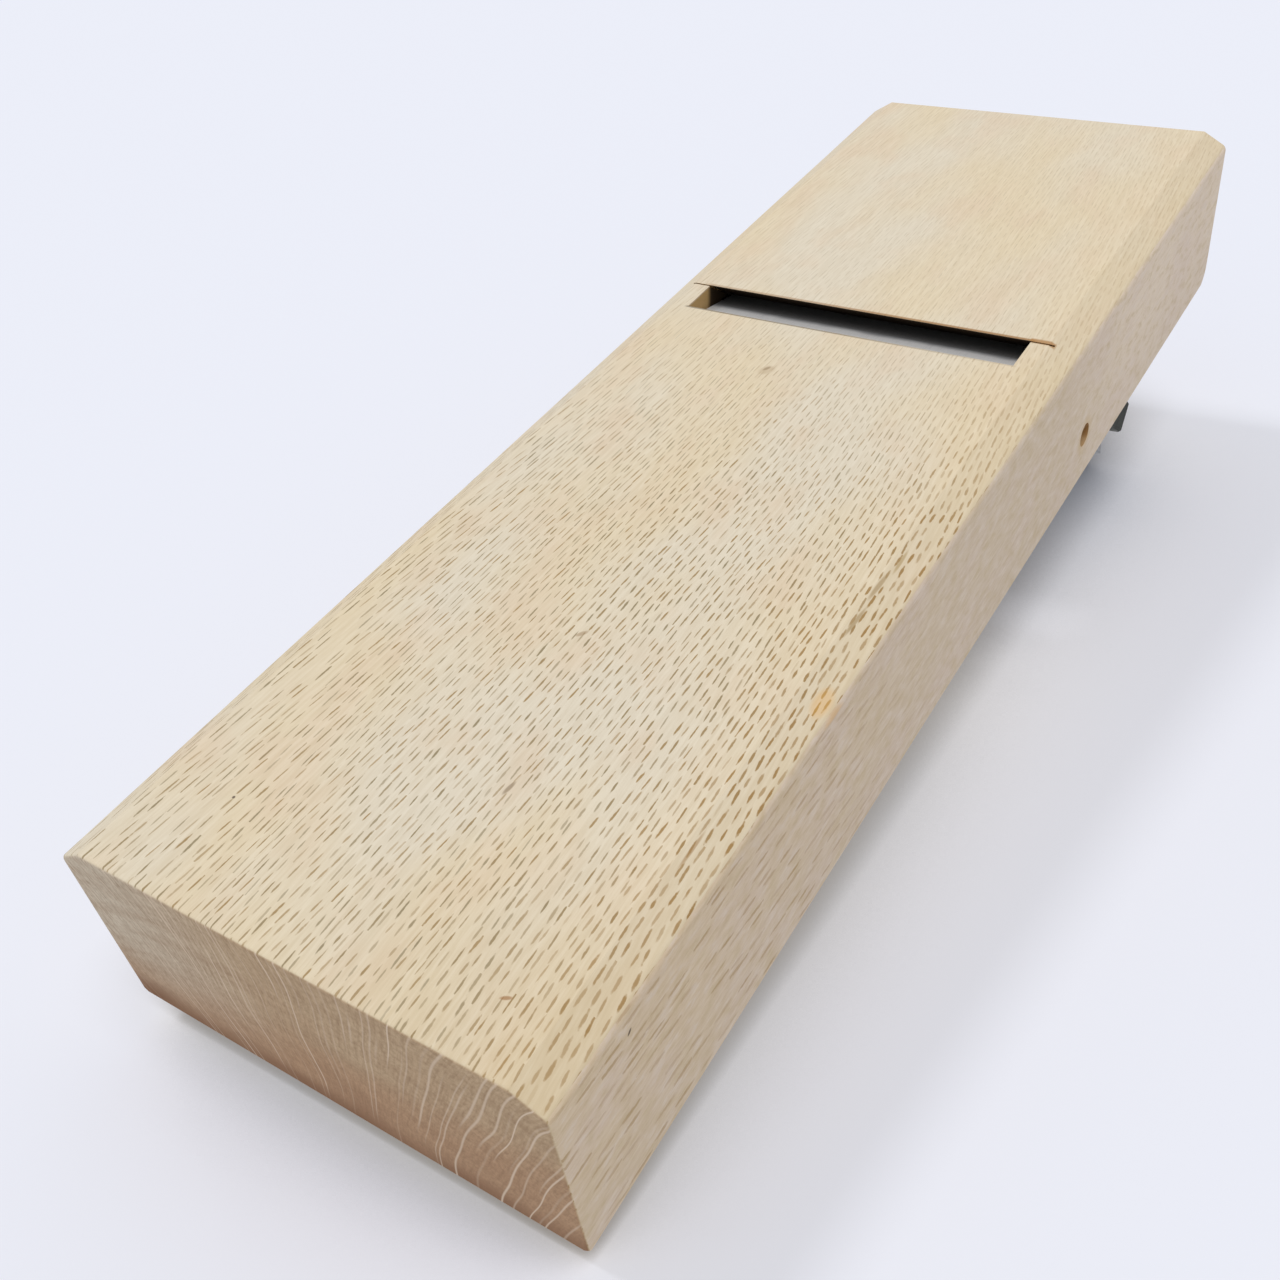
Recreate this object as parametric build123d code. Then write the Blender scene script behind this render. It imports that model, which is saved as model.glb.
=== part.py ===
from build123d import *
from math import asin, atan2, cos, degrees, hypot, radians, sin, tan
import os

# A pull plane: an oak body that holds a wedge-shaped laminated blade, a chip breaker and a pin.
# +X points to the toe, Y runs across and +Z up. The origin is the middle of the sole.
# Sizes are in millimetres and angles in degrees.

# ---- Driving dimensions ---------------------------------------------------------------------

# Body
BODY_LENGTH = 252.0
BODY_HEIGHT = 34.0
CHEEK_WALL = 4.0            # wood between a blade groove and the outside of the body
SOLE_ARRIS_RUN = 4.8        # bevel on the two long sole arrises, across the sole
SOLE_ARRIS_DROP = 2.8       # the same bevel, up the side
SOLE_ARRIS_ROUND = 1.5      # rounding where that bevel meets the side
TOP_ARRIS = 0.8             # bevel on the two long top arrises
HEEL_ARRIS = 4.5            # rounding of the top arris that is struck to loosen the blade
END_ARRIS = 0.5             # rounding round both ends

# Throat
BED_ANGLE = 38.0
BED_FROM_HEEL = 91.5        # from the heel to the line where the bed meets the sole
MOUTH_GAP = 0.4             # from the set cutting edge to the front of the mouth
MOUTH_LIP = 2.0             # upright wall at the front of the mouth
THROAT_FRONT_ANGLE = 72.0   # slope of the wall that turns the shavings up
GROOVE_DEPTH = 4.0          # how far a blade groove goes into each cheek
GROOVE_STOP = 5.0           # wood between the end of a blade groove and the sole
KERF = 0.3                  # saw cut that runs on from each groove through the sole

# Main blade
BLADE_WIDTH = 70.0
BLADE_LENGTH = 85.0
BLADE_EDGE_THICKNESS = 5.0
BLADE_TAPER = 1.55          # the wedge angle that locks the blade in its grooves
BLADE_BEVEL = 28.0
BLADE_SHOULDER = 6.0        # length of the slopes where the edge widens to the full blade
BLADE_HEAD_RISE = 5.0       # how far the head arches above its corners
BLADE_HEAD_CORNER = 2.5
BLADE_ARRIS = 0.8           # bevel round the back, along both sides and the head
FACE_ARRIS = 0.4            # finer bevel round the face
BLADE_STEEL_THICKNESS = 2.0
BLADE_STEEL_LENGTH = 52.0
HOLLOW_DEPTH = 0.35
HOLLOW_MARGIN = 3.5         # flat land beside the hollow that is ground into the face
HOLLOW_LENGTH = 44.0
HOLLOW_HEAD_RISE = 14.0
HOLLOW_WALL = 70.0          # lean of the hollow's wall, so that it fades into the land

# Chip breaker
CHIP_LENGTH = 83.0
CHIP_FRONT_THICKNESS = 3.0
CHIP_HEAD_THICKNESS = 5.2
CHIP_BEVEL = 25.0
CHIP_EDGE_BEVEL = 60.0
CHIP_EDGE_HEIGHT = 0.5      # height of the steep second bevel at its edge
CHIP_EDGE_CORNER = 1.5
CHIP_LIFT = 1.8             # how far the folded ears hold the head off the blade
CHIP_EAR = 11.0             # leg of each folded corner
CHIP_HEAD_RISE = 3.0
CHIP_HEAD_CORNER = 1.5
CHIP_STEEL_THICKNESS = 1.0
CHIP_STEEL_LENGTH = 26.0
CHIP_SETBACK = 4.5          # from the cutting edge to the chip breaker's edge, at rest

# Retaining pin
PIN_DIAMETER = 4.5
PIN_FROM_EDGE = 29.0        # from the chip breaker's edge to the pin, along its top face
PIN_RECESS = 2.0            # how far each end lies inside its hole
PIN_ARRIS = 0.5

# Fits and travel
FIT = 0.03                  # between sliding faces at their tightest
SIDE_PLAY = 1.0             # between each side of the blade and its groove
EDGE_SIDE_PLAY = 0.6        # between each end of the cutting edge and the throat
CHIP_SIDE_PLAY = 0.75       # between each side of the chip breaker and the throat
BLADE_ADVANCE = 5.2         # travel of the blade from rest to its deepest setting
CHIP_ADVANCE = 4.2          # travel of the chip breaker from rest towards the cutting edge

# ---- Sizes that follow ----------------------------------------------------------------------

BODY_WIDTH = BLADE_WIDTH + 2 * (SIDE_PLAY + CHEEK_WALL)
GROOVE_WIDTH = BLADE_WIDTH + 2 * SIDE_PLAY
THROAT_WIDTH = GROOVE_WIDTH - 2 * GROOVE_DEPTH
EDGE_WIDTH = THROAT_WIDTH - 2 * EDGE_SIDE_PLAY
CHIP_WIDTH = THROAT_WIDTH - 2 * CHIP_SIDE_PLAY

bed_slope = radians(BED_ANGLE)
taper_slope = tan(radians(BLADE_TAPER))
BED_X = BED_FROM_HEEL - BODY_LENGTH / 2
MOUTH_LENGTH = (BLADE_EDGE_THICKNESS + FIT) / sin(bed_slope) + MOUTH_GAP

# The bed frame has x up the bed from the sole line and z square out of the bed.
bed = Plane(origin=(BED_X, 0, 0), x_dir=(-cos(bed_slope), 0, sin(bed_slope)),
            z_dir=(sin(bed_slope), 0, cos(bed_slope))).location

# Set as deep as it goes, the cutting edge lies in the plane of the sole.
SET_EDGE = -(BLADE_EDGE_THICKNESS + FIT) / tan(bed_slope)

# The shoulders start above the ends of the grooves, so that the edge passes between them.
SHOULDER_START = (GROOVE_STOP + EDGE_SIDE_PLAY) / sin(bed_slope) - SET_EDGE

# The blade's frame has x along its back and z towards its face, and the face leans by the taper.
blade_set = bed * Pos(SET_EDGE, 0, FIT)
blade_rest = blade_set * Pos(BLADE_ADVANCE, 0, 0)
face = Location((0, 0, BLADE_EDGE_THICKNESS), (0, -BLADE_TAPER, 0))

# The chip breaker's frame has x along its underside, which the ears tilt off the blade's face.
chip_tilt = degrees(asin(CHIP_LIFT / CHIP_LENGTH))
chip_seat = face * Location((CHIP_SETBACK, 0, FIT), (0, -chip_tilt, 0))
chip_top_start = CHIP_EDGE_HEIGHT / tan(radians(CHIP_EDGE_BEVEL))
chip_top_start += (CHIP_FRONT_THICKNESS - CHIP_EDGE_HEIGHT) / tan(radians(CHIP_BEVEL))
chip_top_slope = degrees(atan2(CHIP_HEAD_THICKNESS - CHIP_FRONT_THICKNESS,
                               CHIP_LENGTH - chip_top_start))
chip_top = Location((chip_top_start, 0, CHIP_FRONT_THICKNESS), (0, -chip_top_slope, 0))

# The pin lies on the chip breaker's top face when both irons are set as deep as they go.
chip_set = blade_set * face * Location((CHIP_SETBACK - CHIP_ADVANCE, 0, FIT), (0, -chip_tilt, 0))
pin_on_top = Pos(PIN_FROM_EDGE - chip_top_start, 0, PIN_DIAMETER / 2 + FIT)
pin_centre = (chip_set * chip_top * pin_on_top).position


def side_prism(points, width):
    """A side profile of (along, height) points, made this wide about the middle plane."""
    profile = Plane.XZ * make_face(Polyline(*points, close=True))
    return extrude(profile, amount=width / 2, both=True)


def arched_outline(side, length):
    """A flat outline: (x, half width) points from front to back, closed by an arch of this length."""
    points = [(x, y) for x, y in reversed(side)] + [(x, -y) for x, y in side]
    edges = Polyline(*points) + ThreePointArc(points[-1], (length, 0), points[0])
    return make_face(edges)


def head_rounded(outline, radius):
    """The outline with the two corners of its arched head rounded."""
    return fillet(outline.vertices().sort_by(Axis.X)[-2:], radius)


def upright(outline, height):
    """The outline as a thick plate that reaches this far above and below its plane."""
    return extrude(outline, amount=height, both=True)


# ---- Body -----------------------------------------------------------------------------------

def make_body():
    """The oak block, with the throat, the blade grooves, their kerfs and the pin hole cut out."""
    half_width = BODY_WIDTH / 2
    block = Box(BODY_LENGTH, BODY_WIDTH, BODY_HEIGHT, align=(Align.CENTER, Align.CENTER, Align.MIN))
    block = chamfer(block.edges().filter_by(Axis.X).group_by(Axis.Z)[-1], TOP_ARRIS)
    heel_top = block.edges().filter_by(Axis.Y).group_by(Axis.Z)[-1].sort_by(Axis.X)[0]
    block = fillet(heel_top, HEEL_ARRIS)
    for side in (-1, 1):
        bevel = Polyline((side * half_width, 0), (side * (half_width - SOLE_ARRIS_RUN), 0),
                         (side * half_width, SOLE_ARRIS_DROP), close=True)
        block -= extrude(Plane.YZ * make_face(bevel), amount=BODY_LENGTH, both=True)
    block = fillet(block.edges().filter_by(Axis.X).group_by(Axis.Z)[1], SOLE_ARRIS_ROUND)
    for end in (0, -1):
        block = fillet(block.faces().sort_by(Axis.X)[end].outer_wire().edges(), END_ARRIS)
    return block - make_throat() - make_groove() - make_kerf() - pin_rod(BODY_WIDTH)


def make_throat():
    """The opening between the cheeks: the bed, the mouth and the wall that turns the shavings up."""
    front = BED_X + MOUTH_LENGTH
    front_top = front + (BODY_HEIGHT - MOUTH_LIP) / tan(radians(THROAT_FRONT_ANGLE))
    bed_top = BED_X - BODY_HEIGHT / tan(bed_slope)
    return side_prism([(BED_X, 0), (front, 0), (front, MOUTH_LIP), (front_top, BODY_HEIGHT),
                       (bed_top, BODY_HEIGHT)], THROAT_WIDTH)


def make_groove():
    """The tapered slot for both sides of the blade, from the top face down to its stop."""
    reach = (BODY_HEIGHT + BLADE_EDGE_THICKNESS) / sin(bed_slope)
    near_height = BLADE_EDGE_THICKNESS + 2 * FIT
    far_height = near_height + (reach - SET_EDGE) * taper_slope
    slot = side_prism([(SET_EDGE, 0), (reach, 0), (reach, far_height), (SET_EDGE, near_height)], GROOVE_WIDTH)
    below_stop = Box(BODY_LENGTH, BODY_WIDTH, BODY_HEIGHT, align=(Align.CENTER, Align.CENTER, Align.MAX))
    return bed * slot - Pos(0, 0, GROOVE_STOP) * below_stop


def make_kerf():
    """The saw cut in the plane of the bed, from the ends of the grooves out through the sole."""
    top = GROOVE_STOP / sin(bed_slope) + KERF
    return bed * side_prism([(-KERF, 0), (top, 0), (top, KERF), (-KERF, KERF)], GROOVE_WIDTH)


# ---- Main blade -----------------------------------------------------------------------------

def make_blade():
    """The wedge with its bevel, its shouldered edge and its arched head, as one blank."""
    bevel_foot = BLADE_EDGE_THICKNESS / tan(radians(BLADE_BEVEL - BLADE_TAPER))
    head_thickness = BLADE_EDGE_THICKNESS + BLADE_LENGTH * taper_slope
    wedge = side_prism([(0, BLADE_EDGE_THICKNESS), (bevel_foot, 0), (BLADE_LENGTH, 0),
                        (BLADE_LENGTH, head_thickness)], BLADE_WIDTH)
    outline = arched_outline([(0, EDGE_WIDTH / 2), (SHOULDER_START, EDGE_WIDTH / 2),
                              (SHOULDER_START + BLADE_SHOULDER, BLADE_WIDTH / 2),
                              (BLADE_LENGTH - BLADE_HEAD_RISE, BLADE_WIDTH / 2)], BLADE_LENGTH)
    blank = wedge & upright(head_rounded(outline, BLADE_HEAD_CORNER), 2 * head_thickness)
    back_sides = blank.faces().sort_by(Axis.Z)[0].edges().filter_by(Axis.X).sort_by(SortBy.LENGTH)[-2:]
    blank = chamfer(back_sides, BLADE_ARRIS)
    face_head = blank.edges().filter_by(GeomType.ELLIPSE)
    return chamfer(face_head, FACE_ARRIS)


def blade_steel_zone():
    """The part of the blank that is hard steel: a thin layer of the face, arched at its far end."""
    sides = [(-BLADE_STEEL_THICKNESS, BLADE_WIDTH), (BLADE_STEEL_LENGTH - BLADE_HEAD_RISE, BLADE_WIDTH)]
    return face * extrude(arched_outline(sides, BLADE_STEEL_LENGTH), amount=-BLADE_STEEL_THICKNESS)


def face_hollow():
    """The shallow hollow in the face, which leaves a land along the edge and both sides."""
    half_width = EDGE_WIDTH / 2 - HOLLOW_MARGIN
    outline = arched_outline([(HOLLOW_MARGIN, half_width), (HOLLOW_LENGTH - HOLLOW_HEAD_RISE, half_width)],
                             HOLLOW_LENGTH)
    return face * extrude(outline, amount=-HOLLOW_DEPTH, taper=HOLLOW_WALL)


# ---- Chip breaker ---------------------------------------------------------------------------

def make_chip_breaker():
    """The second iron with its two bevels, its arched head and its corners folded into ears."""
    steep = CHIP_EDGE_HEIGHT / tan(radians(CHIP_EDGE_BEVEL))
    plate = side_prism([(0, 0), (steep, CHIP_EDGE_HEIGHT), (chip_top_start, CHIP_FRONT_THICKNESS),
                        (CHIP_LENGTH, CHIP_HEAD_THICKNESS), (CHIP_LENGTH, 0)], CHIP_WIDTH)
    half_width = CHIP_WIDTH / 2
    outline = arched_outline([(0, half_width - CHIP_EDGE_CORNER), (CHIP_EDGE_CORNER, half_width),
                              (CHIP_LENGTH - CHIP_HEAD_RISE, half_width)], CHIP_LENGTH)
    plate &= upright(head_rounded(outline, CHIP_HEAD_CORNER), 2 * CHIP_HEAD_THICKNESS)
    fold_start = CHIP_LENGTH - CHIP_HEAD_RISE - CHIP_EAR - chip_top_start
    fold = chip_top * Location((fold_start, half_width, 0), (0, 0, -45))
    beyond_fold = fold * Box(CHIP_WIDTH, CHIP_WIDTH, CHIP_WIDTH,
                             align=(Align.CENTER, Align.MIN, Align.CENTER))
    ear = plate & beyond_fold
    folded = fold * Rot(-ear_angle(fold, ear), 0, 0) * fold.inverse() * ear
    plate -= beyond_fold
    plate -= mirror(beyond_fold, about=Plane.XZ)
    return plate + folded + mirror(folded, about=Plane.XZ)


def ear_angle(fold, ear):
    """The angle that brings the tip of the ear down onto the blade's face."""
    flat_ear = (fold.inverse() * ear).bounding_box()
    tip = flat_ear.max.Y
    thickness = -flat_ear.min.Z
    drop = thickness + CHIP_LIFT * (CHIP_LENGTH - CHIP_HEAD_RISE) / CHIP_LENGTH - FIT
    return degrees(asin(drop / hypot(tip, thickness)) - atan2(thickness, tip))


def chip_steel_zone():
    """The part of the chip breaker that is hard steel: a thin layer of its underside at the edge."""
    return Box(CHIP_STEEL_LENGTH, CHIP_WIDTH, CHIP_STEEL_THICKNESS,
               align=(Align.MIN, Align.CENTER, Align.MIN))


# ---- Retaining pin --------------------------------------------------------------------------

def pin_rod(length):
    """A round rod of this length on the pin's axis, across the body."""
    return Pos(pin_centre) * Rot(90, 0, 0) * Cylinder(PIN_DIAMETER / 2, length)


def make_pin():
    """The rod across the throat, pressed into both cheeks with its ends inside their holes."""
    rod = pin_rod(BODY_WIDTH - 2 * PIN_RECESS)
    return chamfer(rod.edges().filter_by(GeomType.CIRCLE), PIN_ARRIS)


# ---- Assembly -------------------------------------------------------------------------------

blade = make_blade()
chip_breaker = make_chip_breaker()
nodes = {
    "body": make_body(),
    "blade_iron": blade_rest * (blade - blade_steel_zone()),
    "blade_steel": blade_rest * ((blade & blade_steel_zone()) - face_hollow()),
    "chip_breaker_iron": blade_rest * chip_seat * (chip_breaker - chip_steel_zone()),
    "chip_breaker_steel": blade_rest * chip_seat * (chip_breaker & chip_steel_zone()),
    "pin": make_pin(),
}

os.makedirs("parts", exist_ok=True)
for name, solid in nodes.items():
    export_step(solid, f"parts/{name}.step")
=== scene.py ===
import math
import bpy
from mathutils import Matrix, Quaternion, Vector


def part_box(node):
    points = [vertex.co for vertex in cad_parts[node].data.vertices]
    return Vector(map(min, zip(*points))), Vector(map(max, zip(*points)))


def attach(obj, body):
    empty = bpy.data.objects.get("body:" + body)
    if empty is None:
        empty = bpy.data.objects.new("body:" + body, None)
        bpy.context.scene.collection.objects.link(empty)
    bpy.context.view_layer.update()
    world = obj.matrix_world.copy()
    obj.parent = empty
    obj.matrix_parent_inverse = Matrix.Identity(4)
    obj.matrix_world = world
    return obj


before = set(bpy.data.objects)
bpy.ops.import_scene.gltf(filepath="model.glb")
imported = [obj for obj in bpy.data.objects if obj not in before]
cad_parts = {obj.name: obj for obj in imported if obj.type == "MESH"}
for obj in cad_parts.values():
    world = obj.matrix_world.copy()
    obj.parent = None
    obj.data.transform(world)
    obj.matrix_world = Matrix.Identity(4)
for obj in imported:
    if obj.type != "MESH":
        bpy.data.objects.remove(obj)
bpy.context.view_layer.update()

# The point of view: close to the toe's right corner and low, with the plane lying sole up.
# The plane's own frame has the sole down, so the camera sits below it and is rolled over.
EYE = Vector((0.1744, -0.1003, -0.1280))
AIM = Vector((0.0653, -0.0080, 0.0))
ROLL = math.radians(169.35)
bpy.ops.object.select_all(action="DESELECT")
bpy.ops.object.camera_add(location=EYE)
camera = bpy.context.object
camera.name = "main_camera"
camera.rotation_mode = "QUATERNION"
camera.rotation_quaternion = (AIM - EYE).to_track_quat("-Z", "Y") @ Quaternion((0, 0, 1), ROLL)
camera.data.lens = 38.57
camera.data.shift_x = 0.028
camera.data.shift_y = 0.0154
camera.data.clip_start = 0.005
bpy.context.scene.camera = camera
bpy.context.scene.view_settings.view_transform = "Standard"


# The body: one block of evergreen white oak, planed and bare, with the pith side on top.
# Its rays run out from the pith, so they are short brown dashes along the sole, long faint
# ones on the sides, and pale curving lines across the end grain of the toe and the heel.
PER_METRE = 1000        # the finishes measure in millimetres


class Value:
    """What one output of a finish's node gives; arithmetic on it adds Math nodes."""

    def __init__(self, finish, socket):
        self.finish = finish
        self.socket = socket

    def also(self, name):
        """Another output of the same node."""
        return Value(self.finish, self.socket.node.outputs[name])

    def __add__(self, other):
        return self.finish.maths("ADD", self, other)

    def __sub__(self, other):
        return self.finish.maths("SUBTRACT", self, other)

    def __rsub__(self, other):
        return self.finish.maths("SUBTRACT", other, self)

    def __mul__(self, other):
        return self.finish.maths("MULTIPLY", self, other)

    def __truediv__(self, other):
        return self.finish.maths("DIVIDE", self, other)

    def __rtruediv__(self, other):
        return self.finish.maths("DIVIDE", other, self)

    def __pow__(self, other):
        return self.finish.maths("POWER", self, other)

    def __abs__(self):
        return self.finish.maths("ABSOLUTE", self)

    __radd__ = __add__
    __rmul__ = __mul__

    def rise(self, start, end):
        """Goes smoothly from 0 at start to 1 at end, which may be the lower one."""
        ends = {"Value": self, "From Min": start, "From Max": end}
        return self.finish.node("MapRange", {"interpolation_type": "SMOOTHSTEP"}, ends)

    def whole(self):
        """The whole number below it."""
        return self.finish.maths("FLOOR", self)

    def parts(self):
        """The three numbers of a place or a colour."""
        split = self.finish.node("SeparateXYZ", inputs={"Vector": self})
        return split, split.also("Y"), split.also("Z")


class Finish:
    """A surface finish: a material, and the one method that adds a node to it."""

    def __init__(self, name, roughness, metallic=0.0):
        self.material = bpy.data.materials.new(name)
        self.material.use_nodes = True
        self.surface = self.material.node_tree.nodes["Principled BSDF"]
        self.surface.inputs["Roughness"].default_value = roughness
        self.surface.inputs["Metallic"].default_value = metallic
        place = {0: self.node("TexCoord").also("Object"), "Scale": PER_METRE}
        self.place = self.node("VectorMath", {"operation": "SCALE"}, place)
        self.facing = self.node("TexCoord").also("Normal")

    def node(self, kind, settings=None, inputs=None):
        """Adds a node, with inputs given by name or number, and gives its first output."""
        made = self.material.node_tree.nodes.new("ShaderNode" + kind)
        for name, setting in (settings or {}).items():
            setattr(made, name, setting)
        shown = [socket for socket in made.inputs if socket.enabled]
        for name, value in (inputs or {}).items():
            socket = shown[name] if isinstance(name, int) else next(s for s in shown if s.name == name)
            self.feed(socket, value)
        return Value(self, next(socket for socket in made.outputs if socket.enabled))

    def feed(self, socket, value):
        """Links a value to a socket, or sets the socket to a plain one."""
        if isinstance(value, Value):
            self.material.node_tree.links.new(value.socket, socket)
        else:
            socket.default_value = value

    def show(self, **values):
        """Feeds the surface's own sockets, named in small letters with lines for spaces."""
        for name, value in values.items():
            self.feed(self.surface.inputs[name.replace("_", " ").title()], value)

    def maths(self, operation, *numbers):
        return self.node("Math", {"operation": operation}, dict(enumerate(numbers)))

    def point(self, x, y, z):
        return self.node("CombineXYZ", inputs={"X": x, "Y": y, "Z": z})

    def noise(self, place, scale=1.0, detail=2.0, roughness=0.5):
        """Even noise about 0.5, with features a unit of place across at scale 1."""
        wanted = {"Vector": place, "Scale": scale, "Detail": detail, "Roughness": roughness}
        return self.node("TexNoise", inputs=wanted)

    def luck(self, *place):
        """Three numbers from 0 to 1, as if drawn by lot for that place."""
        return self.node("TexWhiteNoise", inputs={"Vector": self.point(*place)}).also("Color").parts()

    def blend(self, share, first, second):
        """The first colour where share is 0, the second where it is 1."""
        return self.node("Mix", {"data_type": "RGBA"}, {"Factor": share, "A": first, "B": second})

    def cover(self, *names):
        """Puts the finish on the named CAD nodes."""
        for name in names:
            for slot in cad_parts[name].material_slots:
                slot.material = self.material


def tone(red, green, blue):
    """The colour that looks like this on a screen, where each number is from 0 to 1."""
    return (*(((c + 0.055) / 1.055) ** 2.4 for c in (red, green, blue)), 1.0)


PITH_Y = 6.0            # the middle of the tree, across the body and above the sole
PITH_Z = 95.0
FAN = 0.0019            # how much the rays spread towards the toe, for each millimetre
SKEW = 0.02             # how far the grain runs off the length of the block
RAY_PITCH = 0.92        # between the rows of rays, and between the rays of a row
RAY_SPACING = 3.25
RAY_DEPTH = 60.0
SIDE_PITCH = 2.0        # between the rows on the two sides, where the rays are cut at a slant
SIDE_SLOPE = 0.06

oak = Finish("oak", roughness=0.7)
oak.surface.inputs["Specular IOR Level"].default_value = 0.2
x, y, z = oak.place.parts()
facing_x, facing_y, facing_z = oak.facing.parts()
end_grain = abs(facing_x).rise(0.55, 0.95)
side_face = abs(facing_y)
side_grain = oak.maths("GREATER_THAN", side_face, 0.8)
waver = oak.noise(oak.point(x * 0.008, y * 0.045, z * 0.045), detail=1.0)
across = y - PITH_Y
below = PITH_Z - z
radius = (across * across + below * below) ** 0.5
turn = oak.maths("ARCTAN2", across, below)
around = turn * PITH_Z / (x * FAN + 1) + (waver - 0.5) * 4

# The dashes: each ray is a cell of a grid that bends round the pith, moved and sized by lot.
left = y.rise(-6, 34)
near_right = y.rise(-20, -42)
toward_heel = x.rise(38, -50)
side_rows = (z + x * SIDE_SLOPE + (waver - 0.5) * 5) / SIDE_PITCH
rows = (around - x * SKEW) / RAY_PITCH * (1 - side_grain) + side_rows * side_grain
row = rows.whole()
row_luck = oak.luck(row, 3.0, 0.0)[0]
layer = (radius / RAY_DEPTH + row_luck * 5).whole()
columns = x / (side_grain * 1.4 + row.rise(-6, 30) * 1.2 + RAY_SPACING) + row_luck * 9
column = columns.whole()
shift, length, width = oak.luck(row, column, layer)
drift, dark, lean = oak.luck(column, row, layer + 7)
lot = oak.maths("FRACT", width + length * 3)
absent = left * 0.14 + side_grain * 0.42 + 0.03
present = lot.rise(absent, absent + 0.02)
along = columns - column - 0.5 - (shift - 0.5) * 0.34
aside = rows - row - 0.5 - (drift - 0.5) * 0.5 - along * (lean - 0.5) * 0.3
half_length = length * 0.22 + 0.26 + left * 0.04 + near_right * 0.03
half_width = width * 0.06 + 0.095 + near_right * 0.03 - left * 0.008
frayed = oak.noise(oak.point(x * 1.3, around * 2.6, radius * 2.6), detail=2.0)
outline = (along / half_length) ** 2 + (aside / half_width) ** 2 + (frayed - 0.5) * 2.4
dash = outline.rise(1.6, 0.35) * present
middle = abs(x - 50).rise(48, 12) * y.rise(18, -5)
dash_strength = (dark * 0.55 + 0.48) * (1 - toward_heel * 0.75) * (middle * 0.25 + 1)
side_fade = x.rise(100, 10) * 0.5 + 0.45
worn_arris = side_face.rise(0.1, 0.35) * z.rise(32.6, 33.1)
ray = dash * dash_strength * (1 - side_grain * side_fade) * (1 - worn_arris * 0.85)

patches = oak.noise(oak.point(x * 0.5, y, z), scale=0.035, detail=2.0)
clouds = oak.noise(oak.point(x * 0.6, y + 40, z), scale=0.09, detail=3.0)
fibres = oak.noise(oak.point(x * 0.12, around * 2.2, radius * 2.2), detail=3.0, roughness=0.65)
toe_right = x.rise(88, 128) * y.rise(6, -36)

long_wood = oak.blend(patches.rise(0.35, 0.65), tone(0.875, 0.81, 0.69), tone(0.87, 0.83, 0.755))
long_wood = oak.blend(clouds.rise(0.45, 0.7) * 0.5, long_wood, tone(0.865, 0.775, 0.67))
long_wood = oak.blend(near_right * 0.6, long_wood, tone(0.88, 0.80, 0.66))
long_wood = oak.blend(toe_right * 0.5, long_wood, tone(0.81, 0.72, 0.57))
side_wood = oak.blend(x.rise(115, 0), tone(0.875, 0.785, 0.675), tone(0.86, 0.785, 0.70))
side_wood = oak.blend(x.rise(-25, -75), side_wood, tone(0.93, 0.86, 0.79))
side_wood = oak.blend(z.rise(12, 32) * 0.3, side_wood, tone(0.80, 0.73, 0.66))
side_wood = oak.blend(clouds.rise(0.4, 0.7) * 0.4, side_wood, tone(0.88, 0.80, 0.77))
side_wood = oak.blend(z.rise(4, 1) * 0.35, side_wood, tone(0.86, 0.74, 0.56))
slanted = oak.noise(oak.point(x * 0.22 - z * 0.2, y * 0.5, z * 0.5 + x * 0.12), detail=4.0, roughness=0.65)
side_wood = oak.blend(slanted.rise(0.48, 0.66) * 0.5, side_wood, tone(0.79, 0.70, 0.54))
side_wood = oak.blend(slanted.rise(0.5, 0.34) * 0.5, side_wood, tone(0.91, 0.85, 0.81))
long_wood = oak.blend(side_grain, long_wood, side_wood)
long_wood = oak.blend((0.5 - fibres) * 0.9 + 0.1, long_wood, tone(0.93, 0.89, 0.81))
long_wood = oak.blend((fibres - 0.5) * 0.9 + 0.1, long_wood, tone(0.79, 0.725, 0.61))
ray_brown = oak.blend(lean, tone(0.60, 0.545, 0.43), tone(0.66, 0.55, 0.385))
ray_brown = oak.blend(near_right * 0.9, ray_brown, tone(0.66, 0.52, 0.32))
long_wood = oak.blend(ray, long_wood, ray_brown)

# The end grain: darker, with pores and growth rings, and the rays as fine pale lines.
END_PITCH = 1.25
bulge = (z - 15) * (z - 15) * 0.0085 * y.rise(0, -30)
end_around = around + bulge + (waver - 0.5) * 1.5
end_rows = end_around / END_PITCH
end_row = end_rows.whole()
place_luck, line_luck, width_luck = oak.luck(end_row, 5.0, 11.0)
start_luck, reach_luck = oak.luck(end_row, 17.0, 2.0)[:2]
line_aside = abs(end_rows - end_row - 0.5 - (place_luck - 0.5) * 0.7)
line = line_aside.rise(width_luck * 0.11 + 0.10, 0.02)
line_reach = (z + start_luck * 30 - 15).rise(-12, -4) * (z - reach_luck * 40 - 8).rise(4, -4)
pores = oak.noise(oak.point(x * 0.1, end_around * 1.3, radius * 0.8), scale=1.5, detail=3.0, roughness=0.7)
combed = oak.noise(oak.point(x * 0.1, end_around * 3.2, radius * 0.35), detail=2.0)
rings = oak.noise(oak.point(0.0, around * 0.05, radius * 0.5), detail=2.0)
smoke = oak.noise(oak.point(0.0, y * 0.5, z), scale=0.09, detail=2.0)
depth = z + (smoke - 0.5) * 26
end_wood = oak.blend(depth.rise(5, 26), tone(0.79, 0.69, 0.57), tone(0.74, 0.60, 0.48))
toe_end = x.rise(-20, 20)
# Painted shade: the end grain is painted browner towards the top edge, most at the toe, where the plane
# lies on its table.
painted_shade_near_top = depth.rise(23, 40) * (1 - y.rise(-12, -36) * 0.4) * (toe_end * 0.6 + 0.4)
end_wood = oak.blend(painted_shade_near_top, end_wood, tone(0.52, 0.36, 0.26))
# More painted shade in the last few millimetres under the toe's top edge.
end_wood = oak.blend(z.rise(27, 34) * toe_end * 0.45, end_wood, tone(0.46, 0.28, 0.16))
end_wood = oak.blend(y.rise(2, 36) * z.rise(35, 14) * 0.9, end_wood, tone(0.855, 0.81, 0.74))
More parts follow.
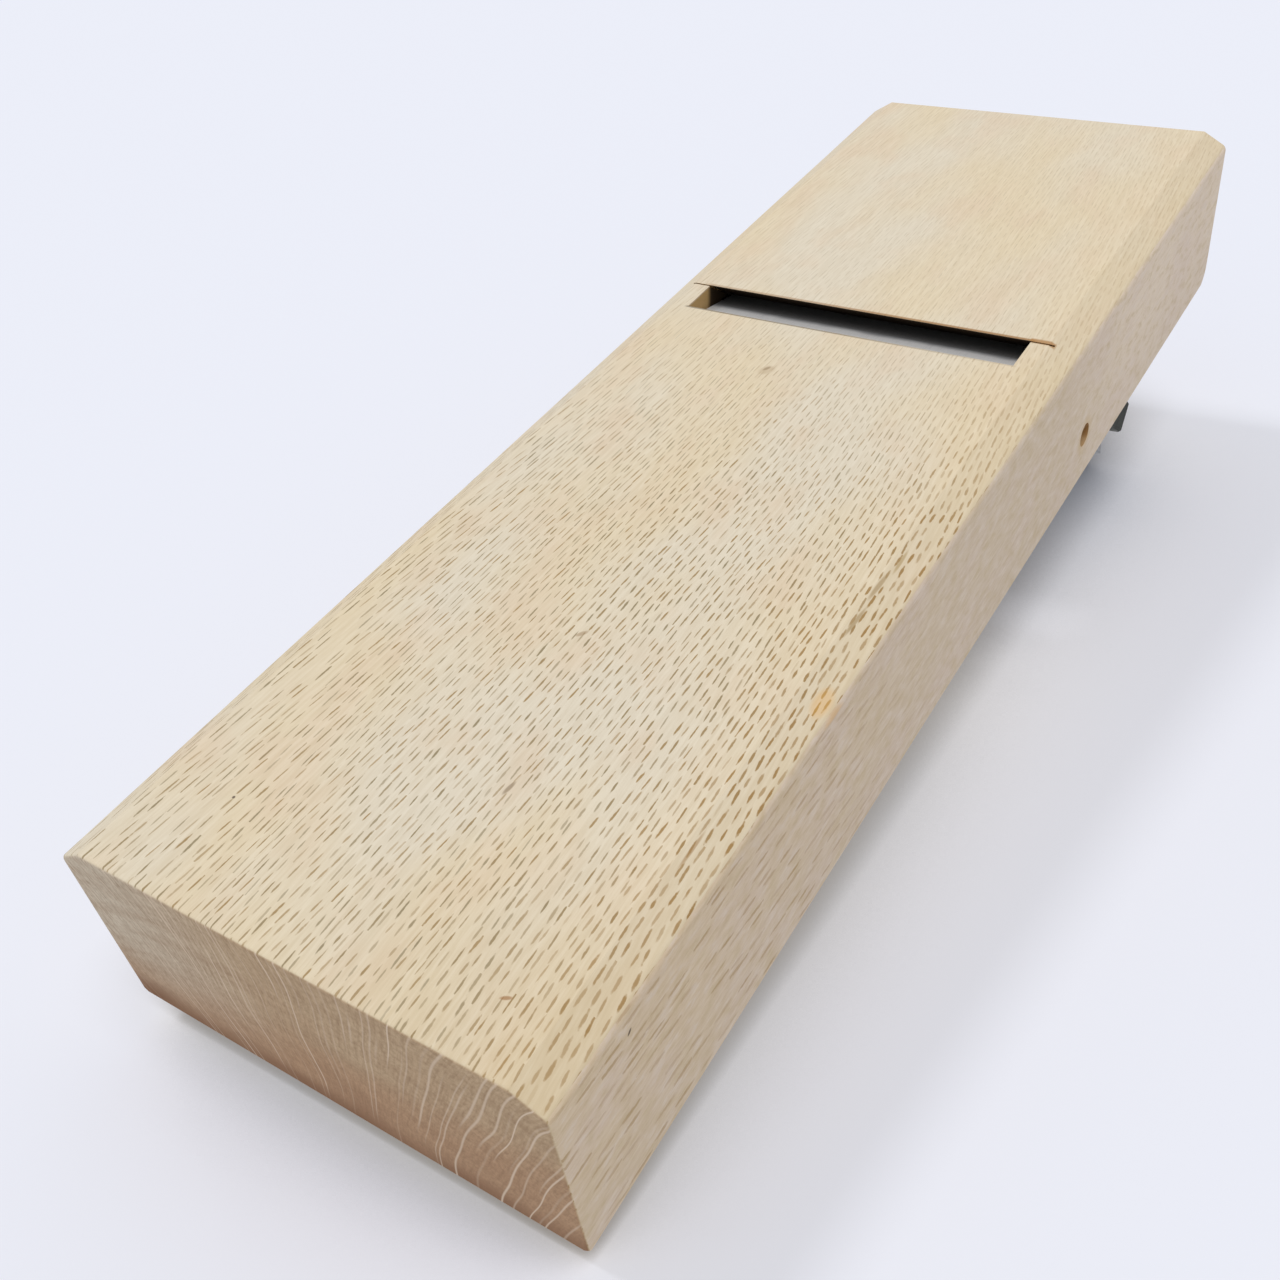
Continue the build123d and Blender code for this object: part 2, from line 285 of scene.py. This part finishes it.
end_wood = oak.blend((rings - 0.5) * 0.9 + 0.1, end_wood, tone(0.60, 0.47, 0.36))
end_wood = oak.blend((combed - 0.5) * 1.2 + 0.1, end_wood, tone(0.55, 0.42, 0.31))
end_wood = oak.blend((pores - 0.5) * 1.3 + 0.1, end_wood, tone(0.50, 0.38, 0.28))
line_share = (line_luck ** 1.4 * 0.7 + 0.17) * (1 - y.rise(0, 40) * 0.45)
end_wood = oak.blend(line * line_reach * line_share, end_wood, tone(0.90, 0.82, 0.74))
wood = oak.blend(end_grain, long_wood, end_wood)

# Inside the throat the wood is painted a darker ochre, partly as painted shade, and under the bed's edge
# and on the cheeks behind it painted shadow makes it nearly black.
BED_ANGLE = math.radians(38)
MOUTH_BACK = -34.5      # where the bed meets the sole
MOUTH_FRONT = -25.93
MOUTH_END = 32.0        # from the middle of the sole to either end of the mouth
KERF = 33.9             # and to the middle of the saw kerf that runs on from there
GROOVE_END = 36.0       # and to the bottom of each blade groove
rim = (abs(y) - 35) * 0.8
inside = abs(y).rise(GROOVE_END + 0.5, GROOVE_END + 0.2) * abs(x).rise(122, 121) * (z - rim).rise(0.0, 0.2)
inside = inside * z.rise(0.1, 0.4) * z.rise(33.9, 33.6)
# The inner faces of the throat are painted a darker ochre, partly as painted shade.
wood = oak.blend(inside * (z.rise(30, 3) * 0.5 + 0.35), wood, tone(0.74, 0.60, 0.36))
bed_facing = facing_x * math.sin(BED_ANGLE) + facing_z * math.cos(BED_ANGLE)
# Painted shadow: the bed's face near the mouth, under the blade, is painted nearly black.
painted_shadow_under_bed = inside * bed_facing.rise(0.9, 0.97) * x.rise(-60, -42)
# Painted shadow: the cheeks behind and under the bed's edge are painted nearly black.
cheek_shade = inside * side_grain * (x - z * 0.19).rise(-33.0, -35.0) * z.rise(16, 6)
wood = oak.blend(painted_shadow_under_bed * 0.97, wood, tone(0.14, 0.10, 0.07))
wood = oak.blend(cheek_shade * 0.95, wood, tone(0.14, 0.10, 0.07))

# The marks of use and growth, with some painted light and shade: painted shade along the mouth's edges,
# the browned kerf on the right with its walls painted pale as painted light, the stained holes of the pin,
# a knot, specks and streaks.
on_sole = z.rise(0.3, 0.1) * abs(facing_z).rise(0.8, 0.95)
off_bed = abs(x - MOUTH_BACK + 0.2)
# Painted shade: a thin orange-brown band on the sole along the mouth's back edge, where the bed drops into
# shadow.
painted_shade_at_bed_edge = on_sole * off_bed.rise(0.6, 0.15) * abs(y).rise(MOUTH_END + 1.5, MOUTH_END - 0.5)
wood = oak.blend(painted_shade_at_bed_edge * (y.rise(34, -20) * 0.4 + 0.4), wood, tone(0.60, 0.41, 0.18))
by_kerf = off_bed.rise(1.0, 0.4) * abs(y + KERF).rise(2.4, 2.0)
kerf_band = by_kerf * z.rise(0.9, 0.7) * abs(facing_z).rise(0.6, 0.75)
wood = oak.blend(kerf_band * 0.8, wood, tone(0.68, 0.49, 0.27))
past_mouth = abs(y).rise(MOUTH_END + 0.1, MOUTH_END + 0.3)
# Painted light: the walls of the saw kerf past the mouth are painted near white against the shade inside
# the thin slot.
kerf_painted_light = inside * past_mouth * abs(x - MOUTH_BACK).rise(5, 4) * z.rise(6, 5)
wood = oak.blend(kerf_painted_light, wood, tone(0.98, 0.88, 0.68))
# Painted shadow: a thin dark line on the sole along the mouth's front edge, stronger at the left, for the
# lip's shadow on the blade.
painted_shadow_at_lip = on_sole * abs(x - MOUTH_FRONT - 0.13).rise(0.4, 0.1) * abs(y).rise(MOUTH_END + 1, MOUTH_END - 0.2)
wood = oak.blend(painted_shadow_at_lip * (y.rise(-32, 10) * 0.5 + 0.2), wood, tone(0.42, 0.38, 0.32))
pin_low, pin_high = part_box("pin")
pin_place = (pin_low + pin_high) / 2 * PER_METRE
from_pin = ((x - pin_place.x) ** 2 + (z - pin_place.z) ** 2) ** 0.5
pin_stain = side_grain * from_pin.rise(4.6, 2.2)
wood = oak.blend(pin_stain * 0.35, wood, tone(0.80, 0.68, 0.45))
pin_wall = from_pin.rise(2.45, 2.3) * (1 - side_grain)
wood = oak.blend(pin_wall * 0.7, wood, tone(0.70, 0.52, 0.28))
MARKS = (
    # x, y, z, half length, half width, slant, strength, colour
    (-10.4, 6.8, 0.0, 1.6, 1.3, 0.2, 0.35, tone(0.66, 0.55, 0.40)),
    (-10.9, 7.0, 0.0, 0.8, 0.4, 0.4, 0.5, tone(0.52, 0.42, 0.30)),
    (108.8, 22.9, 0.0, 0.26, 0.24, 0.0, 0.85, tone(0.30, 0.24, 0.20)),
    (91.0, -10.0, 0.0, 1.3, 0.35, 0.1, 0.6, tone(0.48, 0.38, 0.26)),
    (116.8, -28.4, 0.0, 0.45, 0.5, 1.1, 0.7, tone(0.62, 0.42, 0.22)),
    (62.0, -2.0, 0.0, 0.9, 0.5, 0.6, 0.5, tone(0.58, 0.45, 0.30)),
    (58.7, -38.3, 1.8, 3.0, 0.5, 0.0, 0.38, tone(0.90, 0.68, 0.32)),
    (110.8, -40.0, 6.6, 0.45, 0.3, 0.6, 0.85, tone(0.28, 0.22, 0.18)),
    (89.0, -36.0, 0.45, 3.2, 0.09, 0.0, 0.6, tone(0.66, 0.51, 0.32)),
    (43.5, -35.9, 0.4, 3.4, 0.11, 0.01, 0.65, tone(0.64, 0.53, 0.35)),
    (35.4, -35.7, 0.3, 3.4, 0.13, 0.01, 0.65, tone(0.64, 0.53, 0.35)),
    (29.0, -36.1, 0.5, 2.8, 0.10, -0.01, 0.6, tone(0.68, 0.57, 0.36)),
)
for mark_x, mark_y, mark_z, half_long, half_wide, slant, strength, colour in MARKS:
    reach = x - mark_x
    beside = y - mark_y + (z - mark_z) - reach * slant
    away = (reach / half_long) ** 2 + (beside / half_wide) ** 2 + ((y - mark_y) / 4) ** 2
    near = (z - mark_z).rise(4, 3) * away.rise(1.5, 0.2)
    wood = oak.blend(near * strength, wood, colour)
oak.show(base_color=wood, roughness=end_grain * 0.25 + 0.7)
oak.cover("body")

# The retaining pin: a drawn steel rod pressed through both sides, with its ends set in.
# It was cut to length and driven home, and its two ends are browned, with their brown darkened as painted
# shade for the depth of their holes.
pin_steel = Finish("pin_steel", roughness=0.35)
x, y, z = pin_steel.place.parts()
drawn = pin_steel.noise(pin_steel.point(x * 5, y * 0.08, z * 5), detail=2.0)
browned_and_shaded = abs(y).rise(33, 37)
steel = pin_steel.blend(drawn.rise(0.3, 0.7), tone(0.66, 0.66, 0.65), tone(0.55, 0.55, 0.55))
rust = pin_steel.noise(pin_steel.place, scale=1.2, detail=3.0)
brown = pin_steel.blend(rust.rise(0.35, 0.65), tone(0.36, 0.23, 0.09), tone(0.25, 0.15, 0.06))
pin_steel.show(
    base_color=pin_steel.blend(browned_and_shaded, steel, brown),
    metallic=0.9 - browned_and_shaded * 0.8,
    roughness=drawn * 0.2 + 0.25 + browned_and_shaded * 0.3,
)
pin_steel.cover("pin")

# The blade: a soft iron plate, forged dark, with a strip of hard steel welded under its edge.
# The bevel is ground and honed across both, so the steel shows there as a bright band; on both, the bevel
# is painted darker away from the edge as painted shade.
EDGE_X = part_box("blade_steel")[1].x * PER_METRE     # where the cutting edge lies
WELD = 4.2              # how wide the steel is on the bevel


def lie(finish):
    """A blade's own directions: up from its edge, across it, and out from the bed."""
    turned = finish.node("Mapping", inputs={"Vector": finish.place, "Rotation": (0, -BED_ANGLE, 0)})
    up, across, out = turned.parts()
    return 0 - up, across, out


blade_iron = Finish("blade_iron", roughness=0.5)
blade_iron.surface.inputs["Specular IOR Level"].default_value = 0.1
across = lie(blade_iron)[1]
x, y, z = blade_iron.place.parts()
bevel = blade_iron.facing.parts()[2].rise(-0.90, -0.94)
from_edge = EDGE_X - x
scale = blade_iron.noise(blade_iron.place, scale=0.35, detail=5.0, roughness=0.6)
pits = blade_iron.noise(blade_iron.place, scale=1.8, detail=3.0, roughness=0.6)
forged = blade_iron.blend(scale.rise(0.35, 0.65), tone(0.14, 0.145, 0.12), tone(0.205, 0.21, 0.18))
forged = blade_iron.blend(pits.rise(0.6, 0.75) * 0.5, forged, tone(0.33, 0.29, 0.24))
scratches = blade_iron.noise(blade_iron.point(from_edge * 0.5, across * 5, z), detail=3.0, roughness=0.7)
# Painted shade: the ground bevel of the iron is painted darker away from the edge, where the bed's edge
# shades it.
ground_with_painted_shade = blade_iron.blend(from_edge.rise(4.5, 8.5), tone(0.49, 0.49, 0.49), tone(0.37, 0.37, 0.37))
ground_with_painted_shade = blade_iron.blend((scratches - 0.5) * 1.2, ground_with_painted_shade, tone(0.31, 0.31, 0.32))
blade_iron.show(
    base_color=blade_iron.blend(bevel, forged, ground_with_painted_shade),
    metallic=0.1,
    roughness=pits * 0.3 + 0.5,
    normal=blade_iron.node("Bump", inputs={"Strength": 0.25, "Distance": 0.0002, "Height": pits}),
)
blade_iron.cover("blade_iron")

blade_steel = Finish("blade_steel", roughness=0.3)
up, across, out = lie(blade_steel)
x, y, z = blade_steel.place.parts()
bevel = blade_steel.facing.parts()[2].rise(-0.90, -0.94)
from_edge = EDGE_X - x
wander = blade_steel.noise(blade_steel.point(0.0, y * 0.12, 0.0), detail=3.0)
honed = blade_steel.noise(blade_steel.point(from_edge * 0.5, across * 5, z), detail=3.0, roughness=0.7)
# Painted shade: the bright steel is painted darker from about 2.4 mm off the edge, for the bed's edge's
# shadow on the bevel.
painted_shade_band = (from_edge + (wander - 0.5) * 2).rise(2.4, WELD)
bright = blade_steel.blend(painted_shade_band, tone(0.85, 0.845, 0.84), tone(0.56, 0.56, 0.57))
bright = blade_steel.blend((honed - 0.5) * 1.2, bright, tone(0.60, 0.60, 0.61))
lapped = blade_steel.noise(blade_steel.point(up * 4, across * 0.15, out), detail=3.0, roughness=0.7)
face = blade_steel.blend(lapped.rise(0.3, 0.7), tone(0.74, 0.75, 0.76), tone(0.62, 0.63, 0.64))
blade_steel.show(
    base_color=blade_steel.blend(bevel, face, bright),
    metallic=0.95 - bevel * 0.6,
    roughness=lapped * 0.2 + 0.2 + bevel * 0.2,
)
blade_steel.cover("blade_steel")

# The chip breaker: a smaller iron of the same make, filed bright, with two folded ears.
# Its own thin steel is welded under the front, where it presses on the blade.
chip_iron = Finish("chip_iron", roughness=0.4)
up, across, out = lie(chip_iron)
brushed = chip_iron.noise(chip_iron.point(up * 0.1, across * 4, out * 4), detail=4.0, roughness=0.7)
patina = chip_iron.noise(chip_iron.place, scale=0.12, detail=4.0, roughness=0.6)
filed = chip_iron.blend(brushed.rise(0.3, 0.7), tone(0.58, 0.58, 0.57), tone(0.44, 0.44, 0.43))
filed = chip_iron.blend(patina.rise(0.5, 0.8) * 0.6, filed, tone(0.38, 0.34, 0.30))
filed = chip_iron.blend(up.rise(96, 108) * 0.5, filed, tone(0.22, 0.22, 0.21))
chip_iron.show(base_color=filed, metallic=0.8, roughness=brushed * 0.25 + patina * 0.2 + 0.15)
chip_iron.cover("chip_breaker_iron")

chip_steel = Finish("chip_steel", roughness=0.25)
up, across, out = lie(chip_steel)
lapped = chip_steel.noise(chip_steel.point(up * 4, across * 0.15, out), detail=3.0, roughness=0.7)
bright = chip_steel.blend(lapped.rise(0.3, 0.7), tone(0.76, 0.77, 0.78), tone(0.66, 0.67, 0.68))
chip_steel.show(base_color=bright, metallic=1.0, roughness=lapped * 0.2 + 0.15)
chip_steel.cover("chip_breaker_steel")

# The two table tops: one under the sole for the plane in use, and one that it lies on
# upside down, held up by its toe and its irons. Each shows from the plane's side only,
# and darkens where the plane shuts the sky out.
TABLE_WHITE = tone(0.92, 0.93, 0.97)
TABLE_RADIUS = 1.6
TABLE_GAP = 0.0001
TOE_GAP = 0.003         # keeps the second table clear of the toe when the irons are set deep
TABLE_SLOPE = 0.026     # how fast it falls away from the body's right side
SHADE_REACH = 0.06      # how near the plane has to be to darken a table
body_low, body_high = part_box("body")
toe_corner = Vector((body_high.x, body_low.y, body_high.z + TOE_GAP))
fall = 0.0              # how fast it falls away from the toe, to clear both irons
for name in ("blade_iron", "chip_breaker_iron"):
    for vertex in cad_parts[name].data.vertices:
        offset = vertex.co - toe_corner
        if offset.z > 0:
            fall = max(fall, (offset.z - offset.y * TABLE_SLOPE) / -offset.x)


def table_top(name, place, up):
    bpy.ops.object.select_all(action="DESELECT")
    bpy.ops.mesh.primitive_circle_add(vertices=96, radius=TABLE_RADIUS, fill_type="NGON", location=place)
    top = bpy.context.object
    top.name = name
    top.rotation_mode = "QUATERNION"
    top.rotation_quaternion = Vector(up).to_track_quat("Z", "Y")
    top.visible_shadow = top.visible_diffuse = top.visible_glossy = top.visible_transmission = False
    white = Finish(name, roughness=0.9)
    open_sky = white.node("AmbientOcclusion", {"samples": 16}, {"Distance": SHADE_REACH}).also("AO")
    shade = open_sky.rise(0.68, 0.36) * 0.45
    white.show(base_color=white.blend(shade, TABLE_WHITE, tone(0.28, 0.34, 0.42)))
    white.surface.inputs["Specular IOR Level"].default_value = 0.0
    top.data.materials.append(white.material)
    clear = white.node("MixShader", inputs={"Fac": white.node("NewGeometry").also("Backfacing")})
    links = white.material.node_tree.links
    links.new(white.surface.outputs["BSDF"], clear.socket.node.inputs[1])
    links.new(white.node("BsdfTransparent").socket, clear.socket.node.inputs[2])
    links.new(clear.socket, white.material.node_tree.nodes["Material Output"].inputs["Surface"])
    return top


table_top("table_under_the_sole", (0, 0, -TABLE_GAP), (0, 0, 1))
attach(table_top("table_under_the_irons", toe_corner, (-fall, TABLE_SLOPE, -1)), "chip_breaker")

# Plain soft daylight: a pale room all round, and soft suns over the sole and over the top.
ROOM_LIGHT = 0.58
world = bpy.data.worlds.new("room")
bpy.context.scene.world = world
world.use_nodes = True
nodes, links = world.node_tree.nodes, world.node_tree.links
room = nodes["Background"]
room.inputs["Color"].default_value = (1, 1, 1, 1)
room.inputs["Strength"].default_value = ROOM_LIGHT
seen = nodes.new("ShaderNodeBackground")
seen.inputs["Color"].default_value = TABLE_WHITE
path = nodes.new("ShaderNodeLightPath")
direct = nodes.new("ShaderNodeMath")
direct.operation = "MAXIMUM"
links.new(path.outputs["Is Camera Ray"], direct.inputs[0])
links.new(path.outputs["Is Glossy Ray"], direct.inputs[1])
either = nodes.new("ShaderNodeMixShader")
links.new(direct.outputs[0], either.inputs["Fac"])
links.new(room.outputs[0], either.inputs[1])
links.new(seen.outputs[0], either.inputs[2])
links.new(either.outputs[0], nodes["World Output"].inputs["Surface"])
for name, toward, share, width in (
    ("sun_on_sole", (0.05, -0.26, -0.96), 0.30, 30),
    ("side_sun_on_sole", (0.0, 0.57, -0.82), 0.18, 12),
    ("sun_on_top", (0.2, 0.25, 0.93), 0.30, 30),
    ("side_sun_on_top", (-0.4, 0.4, 0.82), 0.15, 12),
):
    bpy.ops.object.select_all(action="DESELECT")
    bpy.ops.object.light_add(type="SUN", location=toward)
    sun = bpy.context.object
    sun.name = name
    sun.rotation_mode = "QUATERNION"
    sun.rotation_quaternion = Vector(toward).to_track_quat("Z", "Y")
    sun.data.angle = math.radians(width)
    sun.data.energy = share * math.pi
